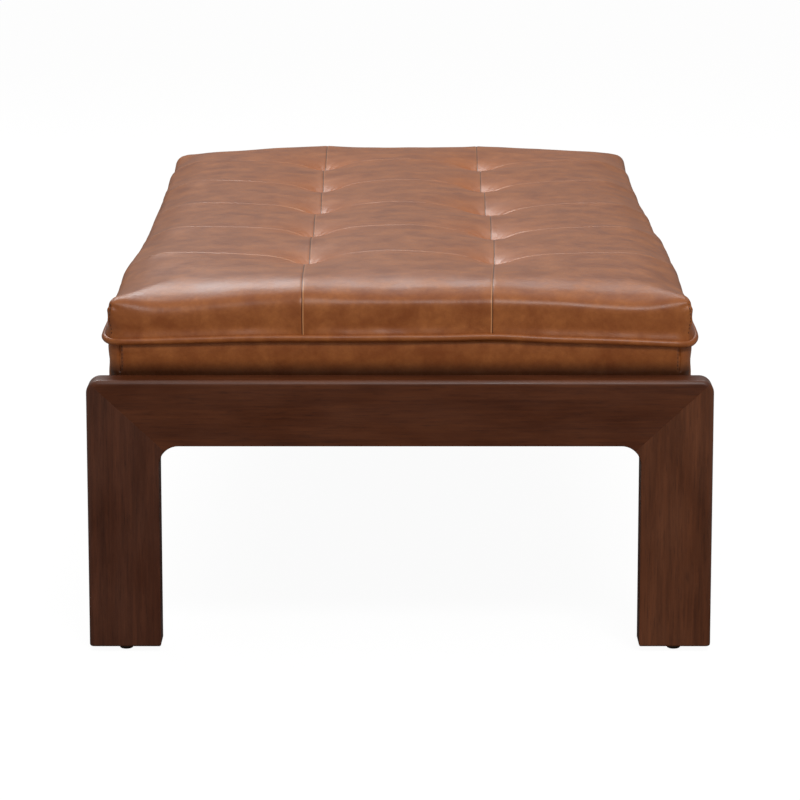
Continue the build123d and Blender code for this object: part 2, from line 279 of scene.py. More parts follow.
def verts_in(geom):
    """The points among what an operator made."""
    return [g for g in geom if isinstance(g, bmesh.types.BMVert)]


def edges_in(geom):
    """The edges among what an operator made."""
    return [g for g in geom if isinstance(g, bmesh.types.BMEdge)]


def end_frame(middle_y, kept):
    """One member of an end frame: the whole bridge, cut at its mitres. kept is -1, 0 or 1."""
    bm = bmesh.new()
    corners = ((-half_width, foot), (-half_width, frame_top), (half_width, frame_top),
               (half_width, foot), (leg_inner, foot), (leg_inner, rail_under),
               (-leg_inner, rail_under), (-leg_inner, foot))
    points = [bm.verts.new((x, middle_y - frame_depth / 2, z)) for x, z in corners]
    bm.faces.new(points)
    round_edges(bm, points[1:3], outer_corner, corner_steps, "VERTICES")
    inner = [v for v in bm.verts if abs(v.co.z - rail_under) < 1e-5]
    round_edges(bm, inner, inner_corner, corner_steps, "VERTICES")
    pulled = bmesh.ops.extrude_face_region(bm, geom=bm.faces[:])["geom"]
    bmesh.ops.translate(bm, vec=(0, frame_depth, 0), verts=verts_in(pulled))
    flat = [e for e in bm.edges if abs(e.verts[0].co.y - e.verts[1].co.y) < 1e-6]
    outer_x, outer_z = half_width - outer_corner - 1e-4, frame_top - outer_corner - 1e-4

    def outside(v):
        return abs(v.co.x) > outer_x or v.co.z > outer_z
    over = [e for e in flat if all(outside(v) and v.co.z > foot + 1e-5 for v in e.verts)]
    over += [e for e in flat if all(outside(v) for v in e.verts)
             and abs(e.verts[0].co.z - e.verts[1].co.z) > 0.05]
    round_edges(bm, list(set(over)), outer_round, 6)
    sole = [e for e in bm.edges if all(v.co.z < foot + 1e-6 for v in e.verts)]
    round_edges(bm, sole, foot_round, 3)
    still_sharp = [e for e in bm.edges if e.calc_face_angle(0.0) > 1.0]
    round_edges(bm, still_sharp, inner_ease, 2)
    slope = Vector((half_width - leg_inner, 0, frame_top - rail_under)).normalized()
    for side in (-1, 1):
        if kept == -side:
            continue
        away = Vector((side * slope.z, 0, -slope.x))
        cut = bmesh.ops.bisect_plane(bm, geom=bm.verts[:] + bm.edges[:] + bm.faces[:],
                                     plane_co=(side * leg_inner, 0, rail_under), plane_no=away,
                                     clear_inner=kept == side, clear_outer=kept != side)
        rim = edges_in(cut["geom_cut"])
        bmesh.ops.contextual_create(bm, geom=rim)
        round_edges(bm, rim, mitre_ease, 1)
    return bm


for end, middle_y in (("front", -frame_middle), ("back", frame_middle)):
    for member, kept, wood in (("left_leg", -1, left_walnut), ("right_leg", 1, right_walnut),
                               ("top_rail", 0, level_walnut)):
        piece = piece_from(end_frame(middle_y, kept), f"{end}_{member}_walnut", wood)
        piece.data.set_sharp_from_angle(angle=radians(38))
        even = piece.modifiers.new("even_shading", "WEIGHTED_NORMAL")
        even.keep_sharp = True
        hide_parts(f"{end}_{member}")

# Leather top: three by six panels of tan pull-up leather sewn edge to edge and drawn over
# soft foam, tied down with twine at the ten inner crossings, its corners sewn upright, and
# its lower edge caught in the welt. It swells between the seams and folds in at each tie.
sheet_half_x = 0.3392
sheet_half_y = 0.6777
seat_half_x = 0.3325
seat_half_y = 0.671
seat_corner = 0.016
skirt_drop = 0.044
crown_top = 0.4220
welt_line = 0.359
row_lines = (-sheet_half_y, -0.4473, -0.2237, 0.0, 0.2237, 0.4473, sheet_half_y)
# Where each row's two lengthways seams start and end, as the sewer lined them up, and how
# deep each row's ties are drawn.
left_seam = ((-0.1115, -0.1130), (-0.1084, -0.1105), (-0.1085, -0.1105),
             (-0.1038, -0.1066), (-0.1054, -0.1094), (-0.1066, -0.1074))
right_seam = ((0.1052, 0.1130), (0.1128, 0.1172), (0.1145, 0.1178),
              (0.1124, 0.1148), (0.1112, 0.1136), (0.1108, 0.1135))
left_tie = (0.0, 0.0136, 0.0115, 0.0168, 0.0205, 0.0170)
right_tie = (0.0, 0.0133, 0.0186, 0.0260, 0.0198, 0.0195)
# How far the tight leather draws each long side in, from front to back.
left_draw = ((-0.66, 0.0018), (-0.49, 0.0024), (-0.36, 0.0050), (-0.22, 0.0095), (0.12, 0.0105),
             (0.30, 0.0068), (0.48, 0.0042), (0.66, 0.0018))
right_draw = ((-0.66, 0.0018), (-0.50, 0.0018), (-0.30, 0.0008), (-0.20, 0.0016), (-0.08, 0.0046),
              (0.06, 0.0050), (0.20, 0.0072), (0.40, 0.0056), (0.66, 0.0018))
# The edge of the top from the welt up: length along the leather, reach outward, height.
edge_shape = ((-0.0440, 0.0050, 0.3600), (-0.0403, 0.0057, 0.3632), (-0.0321, 0.0063, 0.3710),
              (-0.0241, 0.0066, 0.3790), (-0.0161, 0.0065, 0.3870), (-0.0095, 0.0059, 0.3938),
              (-0.0033, 0.0043, 0.4000), (0.0031, 0.0009, 0.4056), (0.0105, -0.0047, 0.4101),
              (0.0192, -0.0128, 0.4135), (0.0292, -0.0226, 0.4165), (0.0410, -0.0342, 0.4193),
              (0.0556, -0.0489, 0.4212), (0.0732, -0.0665, 0.4219), (0.0947, -0.0880, 0.4220))
panel_cells = 36
skirt_cells = 9
crowding = 0.62
swell_limit = 0.0035
seam_hold = 0.004
# The soft foam's shape: how far in a drawn side reaches, the sag beside each corner and its
# distance from the corner's point, and the rise of the middle and of the front edge.
draw_reach = 0.12
left_sag, right_sag, sag_place = 0.0096, 0.0070, 0.062
middle_rise, middle_width = 0.0037, 0.109
front_rise = 0.0016
# The seams: the groove of a lengthways and of a cross seam, and the valley along the first.
long_groove, long_line, cross_groove, cross_line = 0.0006, 0.0014, 0.0008, 0.0017
valley, valley_width = 0.0060, 0.0307
# The ties: the reach of a tuft's steep middle and of its wide dish.
tuft_core, tuft_dish = 0.0176, 0.0724


def edge_at(s):
    """Reach outward and height of the edge at a length along the leather, smoothed."""
    if s >= edge_shape[-1][0]:
        return edge_shape[-1][1] - (s - edge_shape[-1][0]), crown_top
    i = max(1, min(len(edge_shape) - 1, sum(1 for p in edge_shape if p[0] <= s)))
    a, b = edge_shape[i - 1], edge_shape[i]
    before = edge_shape[max(0, i - 2)]
    after = edge_shape[min(len(edge_shape) - 1, i + 1)]
    t = max(0.0, min(1.0, (s - a[0]) / (b[0] - a[0])))
    out = []
    for k in (1, 2):
        run = b[0] - a[0]
        slope_a = (b[k] - before[k]) / (b[0] - before[0]) * run
        slope_b = (after[k] - a[k]) / (after[0] - a[0]) * run
        out.append((2 * t ** 3 - 3 * t ** 2 + 1) * a[k] + (t ** 3 - 2 * t ** 2 + t) * slope_a
                   + (3 * t ** 2 - 2 * t ** 3) * b[k] + (t ** 3 - t ** 2) * slope_b)
    return out


edge_steps = [edge_at(-0.044 + 0.0005 * i) for i in range(279)]


def edge_point(s):
    """The edge read from a fine table: reach, height, and the outward normal's two parts."""
    if s > 0.0940:
        return 0.0067 - s, crown_top, 0.0, 1.0
    k = max(0.0, (s + 0.044) / 0.0005)
    i = int(k)
    f = k - i
    a, b = edge_steps[i], edge_steps[i + 1]
    reach, height = a[0] + (b[0] - a[0]) * f, a[1] + (b[1] - a[1]) * f
    run, rise = b[0] - a[0], b[1] - a[1]
    long = hypot(run, rise) or 1.0
    return reach, height, rise / long, -run / long


def smooth(t):
    """Eases from 0 to 1."""
    t = max(0.0, min(1.0, t))
    return t * t * (3 - 2 * t)


def hill(x, width):
    """A smooth hill of height 1 that falls to a third at its width."""
    return exp(-(x / width) ** 2)


def wander(x, y, z):
    """Smooth noise between -1 and 1, one swell for each unit of distance."""
    return noise.noise(Vector((x, y, z)))


def seam_places(r):
    """X of the two lengthways seams at a place along the rows, 0 at the front, 6 at the back."""
    row = min(5, int(r))
    t = r - row
    return [seam[row][0] + (seam[row][1] - seam[row][0]) * t for seam in (left_seam, right_seam)]


def drawn_in(u, v):
    """How far a long side is drawn in at a place along it, read from its measured list."""
    stops = left_draw if u < 0 else right_draw
    k = max(1, min(len(stops) - 1, sum(1 for stop in stops if stop[0] <= v)))
    (v_0, in_0), (v_1, in_1) = stops[k - 1], stops[k]
    return in_0 + (in_1 - in_0) * smooth((v - v_0) / (v_1 - v_0))


def sheet_place(c, r):
    """Where a point of the flat leather lies, from its place across and along the panels."""
    left, right = seam_places(r)
    lines = (-sheet_half_x, left, right, sheet_half_x)
    i, j = min(2, int(c)), min(5, int(r))
    return (lines[i] + (lines[i + 1] - lines[i]) * (c - i),
            row_lines[j] + (row_lines[j + 1] - row_lines[j]) * (r - j), left, right)


def top_point(c, r, down, full):
    """A point of the leather top. full is 0 for the slack start shape, 1 for the stuffed one."""
    u, v, left, right = sheet_place(c, r)
    from_side, from_end = sheet_half_x - abs(u), sheet_half_y - abs(v)
    on_side, on_end = down > 0 and from_side < 1e-6, down > 0 and from_end < 1e-6
    s_x = -down * skirt_drop if on_side else from_side
    s_y = -down * skirt_drop if on_end else from_end
    reach_x, height_x, out_x, up_x = edge_point(s_x)
    reach_y, height_y, out_y, up_y = edge_point(s_y)
    low = edge_point(-down * skirt_drop)[0]
    pull = drawn_in(u, v) * hill(max(0.0, s_x), draw_reach)
    pull *= 1 - 0.75 * smooth((down - 0.35) / 0.65)
    x, y = seat_half_x + reach_x - pull, seat_half_y + reach_y
    if on_end and not on_side:
        even = abs(u) / sheet_half_x * (seat_half_x + low)
        x = x + (even - x) * smooth(down * 1.6)
        out_x *= 1 - smooth(down * 2.0)
    if on_side and not on_end:
        even = abs(v) / sheet_half_y * (seat_half_y + low)
        y = y + (even - y) * smooth(down * 1.6)
        out_y *= 1 - smooth(down * 2.0)
    # The corner is round in plan, with its upright seam on the diagonal.
    corner = 0.009 + 0.017 * smooth(down * 1.2) if v < 0 else 0.030
    limit_x, limit_y = seat_half_x + low - corner, seat_half_y + low - corner
    over_x, over_y = x - limit_x, y - limit_y
    if over_x > 0 and over_y > 0:
        ease = max(over_x, over_y) / hypot(over_x, over_y)
        x, y = limit_x + over_x * ease, limit_y + over_y * ease
    # Height: both edges drop the top, most at the corner.
    ridge = edge_point(0.0)[1]
    drop_x, drop_y = crown_top - max(height_x, ridge), crown_top - max(height_y, ridge)
    both = (drop_x ** 4 + drop_y ** 4 + 1e-16) ** 0.25
    if down > 0:
        extra = both - max(drop_x, drop_y)
        height = edge_point(-down * skirt_drop)[1] - extra * (1 - down)
    else:
        height = crown_top - both
    # Beside each corner the foam gives way and the edge sags; the corner's point stays up.
    from_corner = hypot(max(0.0, s_x), max(0.0, s_y))
    wide = 0.050 if from_corner < sag_place else 0.085
    sag = (left_sag if u < 0 else right_sag) * exp(
        -((from_corner - sag_place) / wide) ** 2 - (max(0.0, min(s_x, s_y)) / 0.14) ** 2)
    height += (front_rise * smooth((-v - 0.1) / 0.3) * smooth(s_y / 0.03)
               - sag * (1 - smooth(down / 0.75)))
    # Seams, ties and crowns, along the leather's own outward direction.
    across = min(abs(u - left), abs(u - right))
    along = min(abs(v - line) for line in row_lines[1:-1])
    top_share = smooth((min(s_x, s_y) + 0.012) / 0.05)
    sunk = 0.0010 * exp(-across / 0.012) * (0.5 + 0.5 * top_share)
    sunk += exp(-along / 0.018) * (0.0004 + 0.0022 * (1 - top_share))
    sunk += long_groove * hill(across, long_line) + cross_groove * hill(along, cross_line)
    sunk += 0.0040 * hill(s_x - 0.010, 0.028) * smooth((from_end - 0.03) / 0.12)
    # The lengthways seams lie in a shallow valley, deepest at the ties, and the middle rises.
    inner = smooth((from_end - 0.03) / 0.16)
    sunk += valley * inner * hill(across, valley_width) * (1 - 0.5 * sin(pi * r) ** 2)
    sunk -= middle_rise * inner * hill(u, middle_width)
    for row in {max(1, min(5, int(r))), max(1, min(5, int(r) + 1))}:
        for ties, depths in ((left_seam, left_tie), (right_seam, right_tie)):
            far_x, far_y = u - ties[row][0], v - row_lines[row]
            far = hypot(far_x, far_y)
            if far > 0.2:
                continue
            turn = atan2(far_y, far_x)
            reach = far / (1 - 0.22 * abs(sin(2 * turn)))
            sunk += depths[row] * (0.55 * exp(-(reach / tuft_core) ** 1.5)
                                   + 0.45 * exp(-(reach / tuft_dish) ** 1.8))
            # Short creases run out from each tie, never twice alike.
            crease = cos(11 * turn + 3.1 * row + (1.7 if ties is left_seam else 0)
                         + 1.4 * cos(2 * turn + row))
            sunk += 0.00025 * max(0.0, crease) ** 2 * hill(far - 0.017, 0.012)
    panel_c, panel_r = c - min(2, int(c)), r - min(5, int(r))
    crown = 0.0012 * full * sin(pi * panel_c) * sin(pi * panel_r) * top_share
    slack = (1 - full) * 0.004 * (1 - exp(-across / 0.03)) * (1 - exp(-along / 0.03))
    drift = wander(u * 9, v * 9, 3.0) * 0.0012 + wander(u * 24, v * 24, 8.0) * 0.0005
    # Towards a corner the edge itself is tighter, drawn to a ridge by the upright seam.
    crisp = hill(max(s_x, s_y), 0.10) * (1 - hill(from_corner, 0.012))
    ridge_up = 0.0008 * crisp * hill(min(s_x, s_y) - 0.005, 0.011)
    push = crown - sunk - slack + drift + ridge_up
    # The front edge is sharper towards the right, where its shoulder shows a second turn.
    if v < 0 and from_end < 0.05:
        s_end = -down * skirt_drop if on_end else from_end
        sharp = smooth((u + 0.12) / 0.16) * smooth((sheet_half_x - u) / 0.06)
        push += sharp * (0.0006 * hill(s_end + 0.004, 0.0085) - 0.0006 * hill(s_end - 0.012, 0.009))
    # Puckers where the lower edge is gathered into the welt.
    if down > 0:
        around, number = (u, 0.4) if on_end else (v, 7.3)
        gather = wander(around * 55, number, down * 2) * 0.0011 * smooth(down * 1.3 - 0.2)
        push += gather * (1 - smooth(down * 6 - 5))
    # Along the upright corner seam the leather is drawn in, with small creases from its top.
    if on_end or on_side:
        near = 0.0 if on_end and on_side else from_side if on_end else from_end
        push -= 0.0015 * exp(-near / 0.006) * (0.8 + 0.4 * sin(down * 23)) * (1 - down)
        push -= 0.0012 * hill(near, 0.0014) * (1 - 0.8 * down)
        fan = atan2(down * skirt_drop, near + 0.001)
        out_along = hypot(down * skirt_drop, near)
        push += 0.0009 * cos(7.0 * fan + 0.4) * hill(out_along - 0.012, 0.006)
        push -= 0.0008 * hill(out_along, 0.005)
    push *= 1 - smooth((down - 0.7) / 0.3)
    up = min(up_x, up_y)
    long = sqrt(out_x ** 2 + out_y ** 2 + up ** 2) or 1.0
    x += push * out_x / long
    y += push * out_y / long
    height += push * up / long
    return Vector((copysign(x, u), copysign(y, v), height))


def welt_wave(x, y):
    """How far the welt lies above or below its level: low at the corners, lifted at a seam."""
    near = (hypot(seat_half_x - abs(x), 6 * (seat_half_y - abs(y))) / 0.12) ** 1.5
    droop = 0.0050 if y > 0 else 0.0084 if x > 0 else 0.0052
    lift = 0.0
    if abs(y) > seat_half_y - 0.02:
        lift = 0.0020 * hill(x - copysign(0.107, -y), 0.045)
    return lift - droop * exp(-near) + 0.0008 * wander(x * 9, y * 9, 21.0)


def as_mesh(thing):
    """The mesh of an object with its modifiers applied."""
    return bpy.data.meshes.new_from_object(
        thing.evaluated_get(bpy.context.evaluated_depsgraph_get()))


def crowd(t):
    """Moves grid lines closer together towards the seams."""
    whole, part = divmod(t, 1)
    return whole + part - crowding / (2 * pi) * sin(2 * pi * part)


bm = bmesh.new()
bmesh.ops.create_grid(bm, x_segments=3 * panel_cells, y_segments=6 * panel_cells, size=1.0)
for v in bm.verts:
    v.co = Vector((crowd((v.co.x + 1) * 1.5), crowd((v.co.y + 1) * 3), 0))
rim = [e for e in bm.edges if e.is_boundary]
for step in range(skirt_cells):
    pulled = bmesh.ops.extrude_edge_only(bm, edges=rim)["geom"]
    for v in verts_in(pulled):
        v.co.z = -(step + 1) / skirt_cells
    rim = [e for e in edges_in(pulled) if e.is_boundary]
plan = [v.co.copy() for v in bm.verts]
top_mesh = bpy.data.meshes.new("tufted_leather_top")
bmesh.ops.recalc_face_normals(bm, faces=bm.faces)
if sum(f.normal.z for f in bm.faces) < 0:
    bmesh.ops.reverse_faces(bm, faces=bm.faces)
bm.to_mesh(top_mesh)
bm.free()
spread = top_mesh.attributes.new("panel_place", "FLOAT_VECTOR", "POINT")
spread.data.foreach_set("vector", [x for p in plan for x in p])
swell = top_mesh.attributes.new("swell", "FLOAT_VECTOR", "POINT")
leather_top = show("tufted_leather_top", top_mesh)
start = [top_point(p.x, p.y, -p.z, 0.0) for p in plan]
top_mesh.vertices.foreach_set("co", [x for p in start for x in p])
held = leather_top.vertex_groups.new(name="held")
for i, p in enumerate(plan):
    u, v, left, right = sheet_place(p.x, p.y)
    seam = min(abs(u - left), abs(u - right), *(abs(v - line) for line in row_lines[1:-1]))
    # Held at the seams and at the skirt's foot, and a little along the skirt.
    hold = 1.0 if -p.z > 0.85 else max(0.0, 1 - seam / seam_hold) if p.z == 0 else 0.35 * -p.z
    corner = sheet_half_x - abs(u) < seam_hold and sheet_half_y - abs(v) < seam_hold
    held.add([i], 1.0 if corner else max(hold, 0.0), "REPLACE")
cloth = leather_top.modifiers.new("stuffing", "CLOTH")
rules = cloth.settings
rules.quality = 6
rules.mass = 0.35
rules.tension_stiffness = rules.compression_stiffness = 60
rules.shear_stiffness = 30
rules.bending_stiffness = 15
rules.tension_damping = rules.compression_damping = rules.shear_damping = 15
rules.air_damping = 2
rules.use_pressure = True
rules.uniform_pressure_force = 2.5
rules.effector_weights.gravity = 0
rules.vertex_group_mass = "held"
rules.pin_stiffness = 4
cloth.collision_settings.use_collision = False
cloth.collision_settings.use_self_collision = False
cloth.point_cache.frame_end = 22
for number in range(1, 21):
    scene.frame_set(number)
settled = as_mesh(leather_top)
leather_top.modifiers.clear()
leather_top.vertex_groups.clear()
scene.frame_set(1)
moved = []
for rest, v in zip(start, settled.vertices):
    shift = v.co - rest
    moved.append(shift * min(1.0, swell_limit / max(shift.length, 1e-9)))
bpy.data.meshes.remove(settled)
swell.data.foreach_set("vector", [x for p in moved for x in p])
finer = leather_top.modifiers.new("finer", "SUBSURF")
finer.levels = finer.render_levels = 1
finer.subdivision_type = "SIMPLE"
fine_mesh = as_mesh(leather_top)
leather_top.modifiers.clear()
leather_top.data = fine_mesh
bpy.data.meshes.remove(top_mesh)
plan = [Vector(d.vector) for d in fine_mesh.attributes["panel_place"].data]
moved = [Vector(d.vector) for d in fine_mesh.attributes["swell"].data]
share = 1.0
# For the leather's colour: how near each point is to a tie, and to each kind of seam.
tie_reach = 0.052
seam_zone = 0.02
places, pulled_tight, by_long_seam, by_cross_seam = [], [], [], []
for p, shift in zip(plan, moved):
    down = max(0.0, -p.z)
    place = top_point(p.x, p.y, down, 1.0 - share) + shift * share
    place.z += welt_wave(place.x, place.y) * smooth(down)
    places.append(place)
    u, v, left, right = sheet_place(p.x, p.y)
    row = max(1, min(5, round(p.y)))
    far = min(hypot(u - left_seam[row][0], v - row_lines[row]),
              hypot(u - right_seam[row][0], v - row_lines[row]))
    pulled_tight.append(exp(-(far / tie_reach) ** 1.5))
    to_middle = u - left if abs(u - left) < abs(u - right) else right - u
    by_long_seam.append(seam_zone + max(-seam_zone, min(seam_zone, to_middle)))
    by_cross_seam.append(max(0.0, seam_zone - min(abs(v - line) for line in row_lines[1:-1])))
fine_mesh.vertices.foreach_set("co", [x for p in places for x in p])
for name, values in (("pulled_tight", pulled_tight), ("by_long_seam", by_long_seam),
                     ("by_cross_seam", by_cross_seam)):
    fine_mesh.attributes.new(name, "FLOAT", "POINT").data.foreach_set("value", values)
for name in ("panel_place", "swell"):
    fine_mesh.attributes.remove(fine_mesh.attributes[name])
bm = bmesh.new()
bm.from_mesh(fine_mesh)
rim = [e for e in bm.edges if e.is_boundary]
flange = bmesh.ops.extrude_edge_only(bm, edges=rim)["geom"]
for v in verts_in(flange):
    v.co = Vector((v.co.x * 0.965, v.co.y * 0.982, welt_line + 0.0012))
rim = [e for e in edges_in(flange) if e.is_boundary]
bmesh.ops.contextual_create(bm, geom=rim)
bmesh.ops.recalc_face_normals(bm, faces=bm.faces)
for face in bm.faces:
    face.smooth = True
bm.to_mesh(fine_mesh)
bm.free()
fine_mesh.update()

leather, tree, place = material("tan pull-up leather")
# Cloudy patches 20 to 40 mm across, where wax and dye have moved about in the hide.
cloud = speckle(tree, place, 31.0, 5.0, 0.6, 0.3)
# Finer mottling at about 6 mm.
mottle = speckle(tree, place, 150.0, 4.0, 0.65)
# The grain's own cells, drawn at 1.6 mm so that they show.
cells = add(tree, "TexVoronoi", {"feature": "SMOOTH_F1"}, {
    "Vector": place, "Scale": 620.0, "Smoothness": 0.6})
cloud_share = ramp(tree, cloud, 0.34, 0.66)
mottle_share = ramp(tree, mottle, 0.35, 0.70)
ground = blend(tree, cloud_share, "#975226", "#B56B34")
flecks = maths(tree, "MULTIPLY", mottle_share, 0.32)
mottled = blend(tree, flecks, ground, "#7E3F15")
# Pulled tight at the ties, the leather turns lighter and more orange.
tight_at = add(tree, "Attribute", {"attribute_name": "pulled_tight"})
tight_share = maths(tree, "MULTIPLY", tight_at.outputs["Fac"], 0.75)
dyed = blend(tree, tight_share, mottled, "#C97230")
# At a seam the leather folds down: a dark line where it goes in, and beside it a pale line on the
# fold, partly its wear and partly a painted highlight where the fold catches light. Drawn 1.4 mm
# wide, with the fold on the middle panel's side.
long_at = add(tree, "Attribute", {"attribute_name": "by_long_seam"})
off_seam = maths(tree, "SUBTRACT", long_at.outputs["Fac"], seam_zone)
off_line = maths(tree, "ABSOLUTE", off_seam)
flat = ramp(tree, off_line, 0.0001, 0.0010, rise="SMOOTHSTEP")
in_line = ramp(tree, flat, 0.0, 1.0, 0.85, 0.0)
sunk_in = blend(tree, in_line, dyed, "#42200F")
fold_start = ramp(tree, off_seam, 0.0004, 0.0009, 0.0, 0.85)
fold_end = ramp(tree, off_seam, 0.0015, 0.0022, 1.0, 0.0)
parts = add(tree, "SeparateXYZ", inputs={0: place})
endwise = maths(tree, "ABSOLUTE", parts.outputs["Y"])
# Over the front and back edges the fold's painted highlight is painted stronger.
highlight_over_edge = ramp(tree, endwise, 0.640, 0.660, 0.35, 1.0)
fold_line = maths(tree, "MULTIPLY", fold_start, fold_end)
fold_wear_and_highlight = maths(tree, "MULTIPLY", fold_line, highlight_over_edge)
edged = blend(tree, fold_wear_and_highlight, sunk_in, "#DC9A66")
# At the cross seams a pale line is painted beside the seam: a painted highlight where the folded
# edge catches light.
cross_at = add(tree, "Attribute", {"attribute_name": "by_cross_seam"})
cross_fold_highlight = ramp(tree, cross_at.outputs["Fac"], 0.0182, 0.0194, 0.0, 0.55, rise="SMOOTHSTEP")
seamed = blend(tree, cross_fold_highlight, edged, "#CC8A56")
# At the two ends the band's foot is painted darker towards the rail: painted shade, where the
# rail's top shades it.
at_end = ramp(tree, endwise, 0.6600, 0.6640)
low = ramp(tree, parts.outputs["Z"], 0.3165, 0.3370, 0.85, 0.0, rise="SMOOTHSTEP")
# Painted shade: the band's lower part darkened at both ends.
painted_foot_shade = maths(tree, "MULTIPLY", at_end, low)
hide = blend(tree, painted_foot_shade, seamed, "#2A1106")
gloss = ramp(tree, cloud, 0.3, 0.7, 0.33, 0.43)
grain = relief(tree, cells, 0.12, 0.0006)
creased = relief(tree, mottle, 0.14, 0.0012, grain)
sewn = relief(tree, flat, 0.3, 0.0008, creased)
surface(tree, hide, gloss, {"IOR": 1.48, "Normal": sewn})
fine_mesh.materials.clear()
fine_mesh.materials.append(leather)
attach(leather_top, "root")
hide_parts("top_cover", "soft_topper")

# Welt: a strip of the same leather sewn round an 8 mm cord, caught in the seam between
# the top and the band all the way round. It droops a little at the corners.
welt_radius = 0.0040
welt_reach = 0.0052
welt_corner = 0.026
welt_points = []
straight_x = seat_half_x + welt_reach - welt_corner
straight_y = seat_half_y + welt_reach - welt_corner
for side_x, side_y, start_turn in ((1, -1, -90), (1, 1, 0), (-1, 1, 90), (-1, -1, 180)):
    for k in range(13):
        turn = radians(start_turn + k * 7.5)
        welt_points.append(Vector((side_x * straight_x + welt_corner * cos(turn),
                                   side_y * straight_y + welt_corner * sin(turn), welt_line)))
route = []
for i, a in enumerate(welt_points):
    b = welt_points[(i + 1) % len(welt_points)]
    steps = max(1, round((b - a).length / 0.009))
    route += [a.lerp(b, k / steps) for k in range(steps)]
for p in route:
    p.z += welt_wave(p.x, p.y)
    if abs(p.x) > seat_half_x - 0.02:
        p.x -= copysign(0.25 * drawn_in(p.x, p.y), p.x)
line = bpy.data.curves.new("welt_line", "CURVE")
line.dimensions = "3D"
line.bevel_depth = welt_radius
line.bevel_resolution = 5
spline = line.splines.new("POLY")
spline.points.add(len(route) - 1)
for point, p in zip(spline.points, route):
    point.co = (*p, 1.0)
    point.radius = 1.0 + 0.05 * wander(p.x * 30, p.y * 30, 5.0)
spline.use_cyclic_u = True
welt_guide = show("welt_guide", line)
welt_mesh = as_mesh(welt_guide)
bpy.data.objects.remove(welt_guide)
bm = bmesh.new()
bm.from_mesh(welt_mesh)
bmesh.ops.remove_doubles(bm, verts=bm.verts, dist=1e-6)
welt = piece_from(bm, "leather_welt", leather)
bpy.data.meshes.remove(welt_mesh)
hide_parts("welt_sleeve", "welt_cord")

# Leather band: four strips of the same leather drawn round the box below the welt, sewn
# together near each corner, turned under the box and stapled there. It swells over the
# foam, is drawn in beside the ends, and lies flat against the box below the deck.
band_top = 0.3565
band_bottom = 0.2467
band_hem = 0.030
band_seam = 0.319


def seat_outward(x, y):
    """The outward direction at a point of the seat's rounded outline."""
    out = Vector((max(0.0, abs(x) - (seat_half_x - seat_corner)),
                  max(0.0, abs(y) - (seat_half_y - seat_corner)), 0))
    out.normalize()
    return Vector((copysign(out.x, x), copysign(out.y, y), 0))


def band_push(x, y, z):
    """How far a point of the plain band stands out: its swell, ripples, seams and tuck."""
    on_end = abs(y) > seat_half_y - seat_corner * 0.6
    above = (z - frame_top) / (band_top - frame_top)
    full = 0.0030 * smooth(above / 0.75) * (1 - 0.4 * smooth((above - 0.8) / 0.2))
    ripple = wander(x * 14, y * 14, z * 9) * 0.0009
    from_seam = abs(abs(x) - band_seam) if on_end else 1.0
    turned_in = 0.0015 * hill(from_seam, 0.0016) + 0.0005 * exp(-from_seam / 0.007)
    turned_in *= smooth((z - frame_top) / 0.004)
    # Short creases run inwards from the top of each seam, where the corner is gathered.
    inward = band_seam - abs(x)
    gathered = 0.0
    if on_end and inward > 0:
        below = band_top - z
        gathered = 0.0011 * exp(-((below - 0.0085 - 0.07 * inward) / 0.0021) ** 2
                                - (inward / 0.026) ** 2) * smooth(inward / 0.006)
    # Beside the ends the long sides are drawn in over the foam, above the deck's edge.
    if abs(x) > seat_half_x - seat_corner:
        full -= 0.0024 * smooth((abs(y) - 0.40) / 0.2) * smooth((z - frame_top) / 0.018)
    push = full + ripple - turned_in + gathered
    return min(push, -0.0006 + 0.25 * max(0.0, z - frame_top)) if on_end else push


bm = bmesh.new()
corners = [bm.verts.new((x * seat_half_x, y * seat_half_y, band_top))
           for x, y in ((1, -1), (1, 1), (-1, 1), (-1, -1))]
bm.faces.new(corners)
round_edges(bm, corners, seat_corner, 8, "VERTICES")
bmesh.ops.delete(bm, geom=bm.faces[:], context="FACES_ONLY")
# Upright cuts every 9 mm across the ends and along the sides, and closer ones at the seams.
cuts = [(0, -0.3145 + 0.0089857 * k) for k in range(71)]
cuts += [(1, -0.653 + 0.0090069 * k) for k in range(146)]
cuts += [(0, side * (band_seam + beside)) for side in (-1, 1)
         for beside in (-0.004, -0.0022, -0.0011, 0, 0.0011, 0.0022, 0.004)]
for axis, spot in cuts:
    bmesh.ops.bisect_plane(bm, geom=bm.verts[:] + bm.edges[:], plane_co=(spot, spot, 0),
                           plane_no=(1 - axis, axis, 0))
rim = bm.edges[:]
# From the welt down: each level's height and how far in it lies, with the fold at the hem.
hem_fold = 0.0026
levels = [(band_top - 0.0050 * k, 0.0) for k in range(1, 8)]
levels += [(frame_top + rise, 0.0) for rise in (0.0035, 0.0025, 0.0017, 0.0010, 0.0004)]
levels += [(frame_top - 0.0045 - 0.0056 * k, 0.0) for k in range(11)]
levels += [(band_bottom + 0.0033, 0.0), (band_bottom + 0.0012, 0.0006), (band_bottom, hem_fold),
           (band_bottom, band_hem / 2), (band_bottom, band_hem)]
was_in = 0.0
for z, inward in levels:
    pulled = bmesh.ops.extrude_edge_only(bm, edges=rim)["geom"]
    for v in verts_in(pulled):
        v.co -= seat_outward(v.co.x, v.co.y) * (min(inward, hem_fold) - was_in)
        v.co.x = copysign(min(abs(v.co.x), seat_half_x - inward), v.co.x)
        v.co.y = copysign(min(abs(v.co.y), seat_half_y - inward), v.co.y)
        v.co.z = z
    rim = [e for e in edges_in(pulled)
           if e.is_boundary and all(abs(v.co.z - z) < 1e-7 for v in e.verts)]
    was_in = min(inward, hem_fold)
